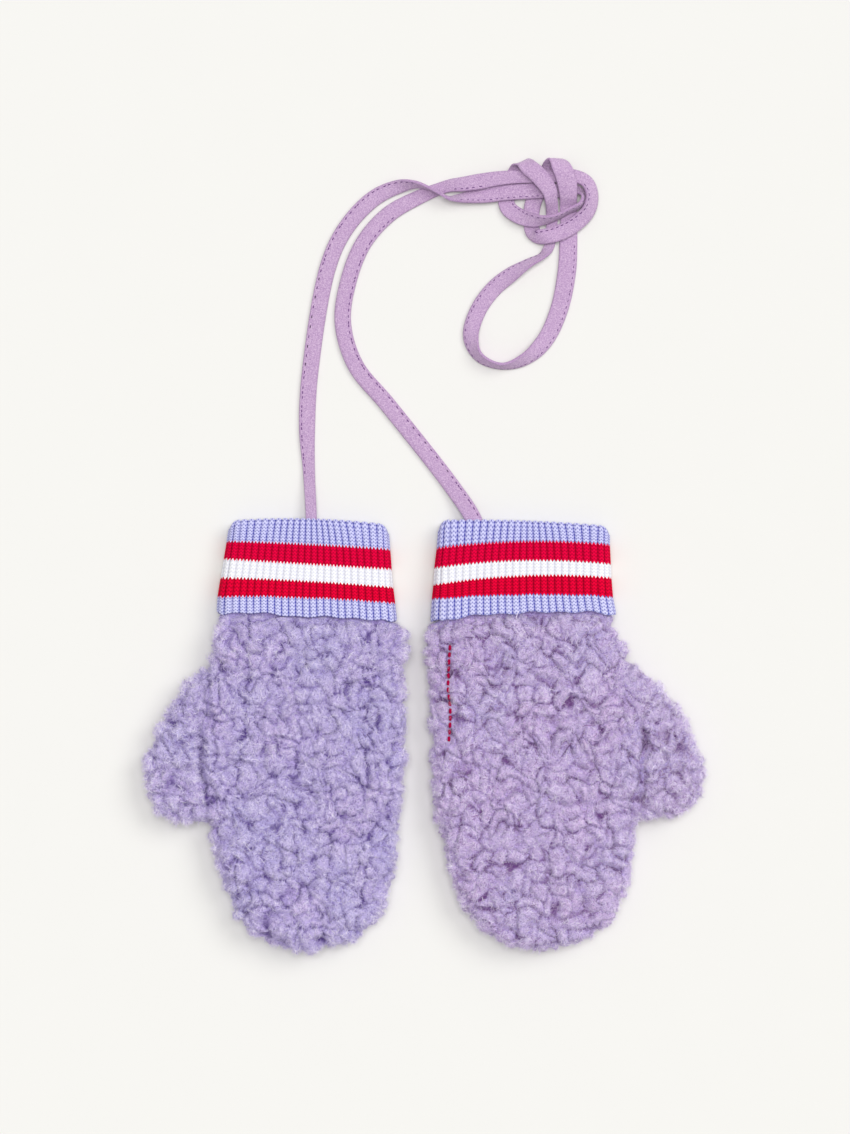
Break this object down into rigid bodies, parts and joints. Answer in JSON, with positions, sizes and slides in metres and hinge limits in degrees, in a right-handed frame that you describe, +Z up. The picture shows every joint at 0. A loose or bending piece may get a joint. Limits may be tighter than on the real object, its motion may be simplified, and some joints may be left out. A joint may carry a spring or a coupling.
{
  "type": "pair of child's mittens with cord",
  "caption": "Child's curly pile fleece mittens with striped rib cuffs turned down over the wrist, laid flat with thumbs outward, joined by a knotted flat tape cord.",
  "frame": {"origin": "middle of the two mittens' length and breadth, on the surface they lie on", "axes": "+X to the right across the pair, +Y from the fingertips to the cuffs, +Z up from the surface"},
  "size_m": [0.2244, 0.3184, 0.016],
  "materials": {
    "fleece": "curly pile",
    "rib": "rib knit, striped",
    "tape": "brushed jersey tape"
  },
  "bodies": {
    "root": {"left_back": "fleece", "left_palm": "fleece", "left_thumb_back": "fleece", "left_thumb_palm": "fleece", "left_cuff": "rib", "right_back": "fleece", "right_palm": "fleece", "right_thumb_back": "fleece", "right_thumb_palm": "fleece", "right_cuff": "rib", "cord": "tape"}
  },
  "joints": []
}
